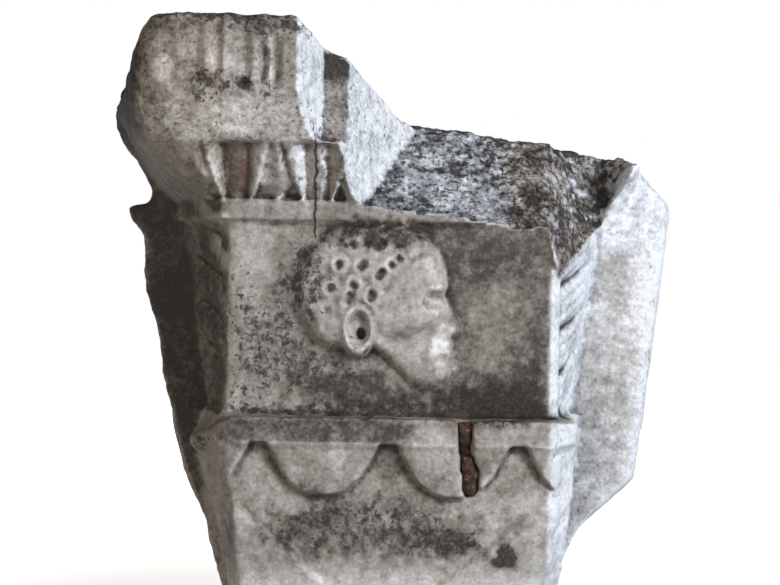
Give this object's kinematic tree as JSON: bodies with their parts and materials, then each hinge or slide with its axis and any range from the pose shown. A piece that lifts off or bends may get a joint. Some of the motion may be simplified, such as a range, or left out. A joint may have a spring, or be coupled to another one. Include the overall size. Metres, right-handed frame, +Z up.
{
  "type": "carved marble keystone console",
  "caption": "Broken marble keystone console with an egg-and-dart crown, a head in relief and hanging leaf tips, built into an arch.",
  "frame": {"origin": "middle of the cut underside, on the panel's centre line and halfway between the panel's face and the back", "axes": "+X to the viewer's right along the panel, +Y back into the wall, +Z up"},
  "size_m": [0.5436, 0.3464, 0.5625],
  "materials": {
    "marble": null,
    "iron": "corroded iron, rough rust"
  },
  "bodies": {
    "root": {"marble_block": "marble", "iron_cramp": "iron"}
  },
  "joints": []
}
